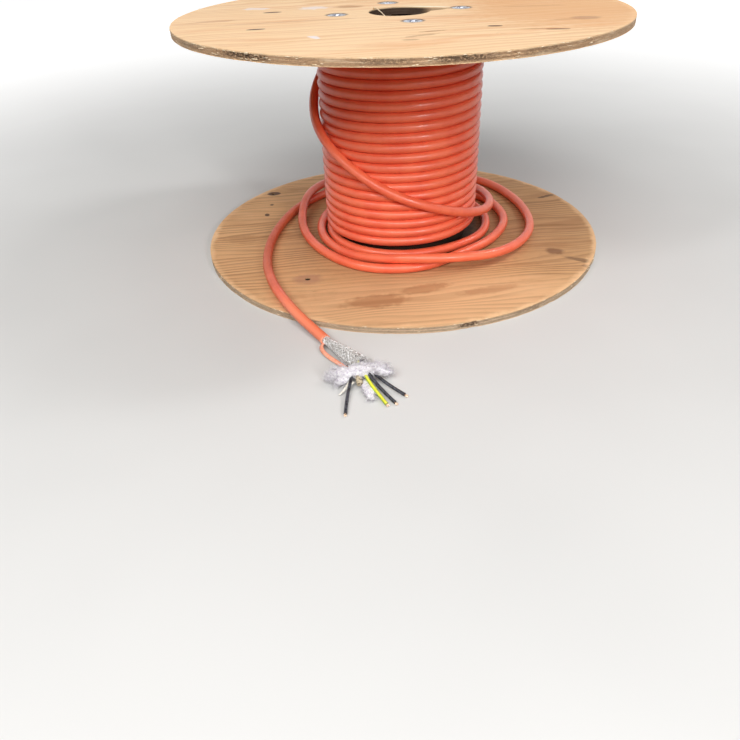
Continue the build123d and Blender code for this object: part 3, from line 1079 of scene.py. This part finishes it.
def filler_cord():
    """The cut end of a twisted filler cord that shows among the cores."""
    start = Vector((-0.074, -0.396, 0.0085))
    tip = Vector((-0.0705, -0.415, 0.0062))
    side, above = square_to((tip - start).normalized())
    shape = Shape()
    for strand, start_turn in enumerate(turns(9)):
        path = []
        for share in shares(14):
            turn = start_turn + share * 2.6
            out = 0.0026 + 0.0003 * sin(share * 9 + strand)
            path.append(start.lerp(tip, share) + spoke(side, above, turn) * out)
        shape.tube(path, 0.00115, 8)
    shape.tube([start.lerp(tip, share) for share in shares(6)], 0.002, 10)
    attach(shape.piece("filler_cord"), jute_filler)


# Camera and cable come first. The camera has the photograph's own place, pitch and roll
camera_pitch = 35.44
camera_roll = -2.22
lens = bpy.data.cameras.new("camera")
lens.lens = 32.89
lens.sensor_width = 36
lens.clip_start = 0.02
camera = linked("camera", lens)
camera.location = (-0.0586, -1.0268, 0.4604)
camera.rotation_mode = "ZYX"
camera.rotation_euler = (radians(90 - camera_pitch), 0, radians(camera_roll))
scene.camera = camera
cable_line = cable_points()
cable = spline_piece("cable", cable_line, cable_diameter, 7, 6)
attach(cable, orange_jacket)
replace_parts(cable, "cable_winding", "cable_tail")

# Flanges, barrel and steel
worn_flange("top", top_plywood, 0.00012, 2)
worn_flange("bottom", bottom_plywood, 0.0001, 5)
splinters("top", 230, 3)
splinters("bottom", 90, 4)
torn_strand = spline_piece(
    "torn_veneer_strand",
    [(-0.035, 0.033, 0.3244), (-0.0325, 0.024, 0.3262), (-0.0285, 0.002, 0.3262),
     (-0.0235, -0.02, 0.3246), (-0.0195, -0.035, 0.3215)],
    0.0013, 8, 2,
)
attach(torn_strand, splinter_wood)
nodes["barrel"].data.materials.clear()
nodes["barrel"].data.materials.append(fibre_board)
tee_nuts("lower_tee_nuts", "tee_nuts_bottom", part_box("tee_nuts_bottom")[0].z, 1)
tee_nuts("upper_tee_nuts", "tee_nuts_top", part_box("tee_nuts_top")[1].z, -1)
for rod_number, rod_centre in enumerate(rod_centres, 1):
    tie_rod(rod_number, rod_centre)

# The cable's stripped end
shield_braid()
taped_bundle()
fleece()
*black_cores, earth_core = core_routes
for core_name in black_cores:
    core(core_name, black_insulation)
core(earth_core, earth_green)
earth_stripes()
jacket_rim()
filler_cord()
ribbon(
    "peeled_jacket_strip",
    [(-0.1085, -0.3235, 0.006), (-0.1135, -0.3262, 0.0062), (-0.1178, -0.333, 0.0052),
     (-0.115, -0.344, 0.0042), (-0.105, -0.358, 0.0036), (-0.094, -0.37, 0.0034),
     (-0.086, -0.38, 0.0034)],
    (0.0056, 0.005), 0.0013, (-35, -30), jacket_inside,
)
ribbon(
    "separator_tape_strip",
    [(-0.079, -0.409, 0.0062), (-0.083, -0.416, 0.0066), (-0.088, -0.423, 0.0046),
     (-0.0945, -0.4285, 0.0018)],
    (0.007, 0.0012), 0.0003, (10, 35), separator_tape,
)
end_pieces = [
    "shield_braid_wires", "taped_bundle", "fleece_fibres", "fleece_lumps", "earth_stripes",
    "jacket_cut_edge", "filler_cord", "peeled_jacket_strip", "separator_tape_strip",
]
for core_name in core_routes:
    end_pieces += [f"{core_name}_insulation", f"{core_name}_strands"]

# Floor, lamps and background
floor_reach = 6
floor_shape = Shape()
sides = (-floor_reach, floor_reach)
floor_shape.skin([[(x, y, 0) for x in sides] for y in sides], closed=False, caps=False)
floor = floor_shape.piece("floor", smooth=False)
floor_finish = Finish("pale_floor", 0.85, Specular_IOR_Level=0.1, Emission_Color=(1, 1, 1, 1))
floor_tone = floor_finish.place.noise(3).over((218, 218, 217), (214, 214, 213), 0.3, 0.7)
# Only the camera and mirrors see the floor this pale, so that it throws little light up
floor_seen = background_rays(floor_finish.tree)
floor_tone = floor_seen.mix((128, 128, 126), floor_tone)
floor_glow = floor_finish.place.vector("LENGTH").step(0.35, 2.4, 0, 0.85) * floor_seen
floor.data.materials.append(floor_finish.use(Base_Color=floor_tone, Emission_Strength=floor_glow))

warm = (1, 0.98, 0.95)
white = (1, 1, 1)
for name, place, aim_height, size, power, tint in (
    ("front", (-0.7, -2.5, 2.8), 0.1, (2.4, 1.2), 29, warm),
    ("high_front", (-0.4, -1.7, 3.2), 0.1, (2.4, 0.8), 24, warm),
    ("low_front", (-0.3, -3.2, 2.1), 0.1, (2.2, 0.6), 42, warm),
    ("door", (1.45, -2.8, 1.3), 0.15, (0.3, 0.7), 32, white),
    ("right", (2, 0.5, 2.2), 0.1, (0.35, 0.9), 19, white),
    ("top", (0.1, 0.3, 2.6), 0.2, (2.4, 2.4), 9, white),
    ("left", (-2, -1.6, 2.3), 0.1, (0.35, 0.8), 20, white),
):
    lamp = bpy.data.lights.new(f"{name}_lamp", "AREA")
    lamp.shape = "RECTANGLE"
    lamp.size, lamp.size_y = size
    lamp.energy = power
    lamp.color = tint
    held = linked(lamp.name, lamp)
    held.location = place
    held.rotation_euler = (up(aim_height) - Vector(place)).to_track_quat("-Z", "Y").to_euler()

scene.world = bpy.data.worlds.new("plain_light")
scene.world.use_nodes = True
world_tree = scene.world.node_tree
world_tree.nodes.clear()
lighting, backdrop = (
    add_node(world_tree, "Background", {"Color": tint, "Strength": strength})
    for tint, strength in (((0.96, 0.98, 1, 1), 0.06), ((1, 1, 1, 1), 1))
)
chosen = add_node(
    world_tree, "MixShader", {0: background_rays(world_tree), 1: lighting, 2: backdrop},
)
world_output = world_tree.nodes.new("ShaderNodeOutputWorld")
world_tree.links.new(chosen.socket, world_output.inputs["Surface"])

scene.view_settings.view_transform = "Standard"
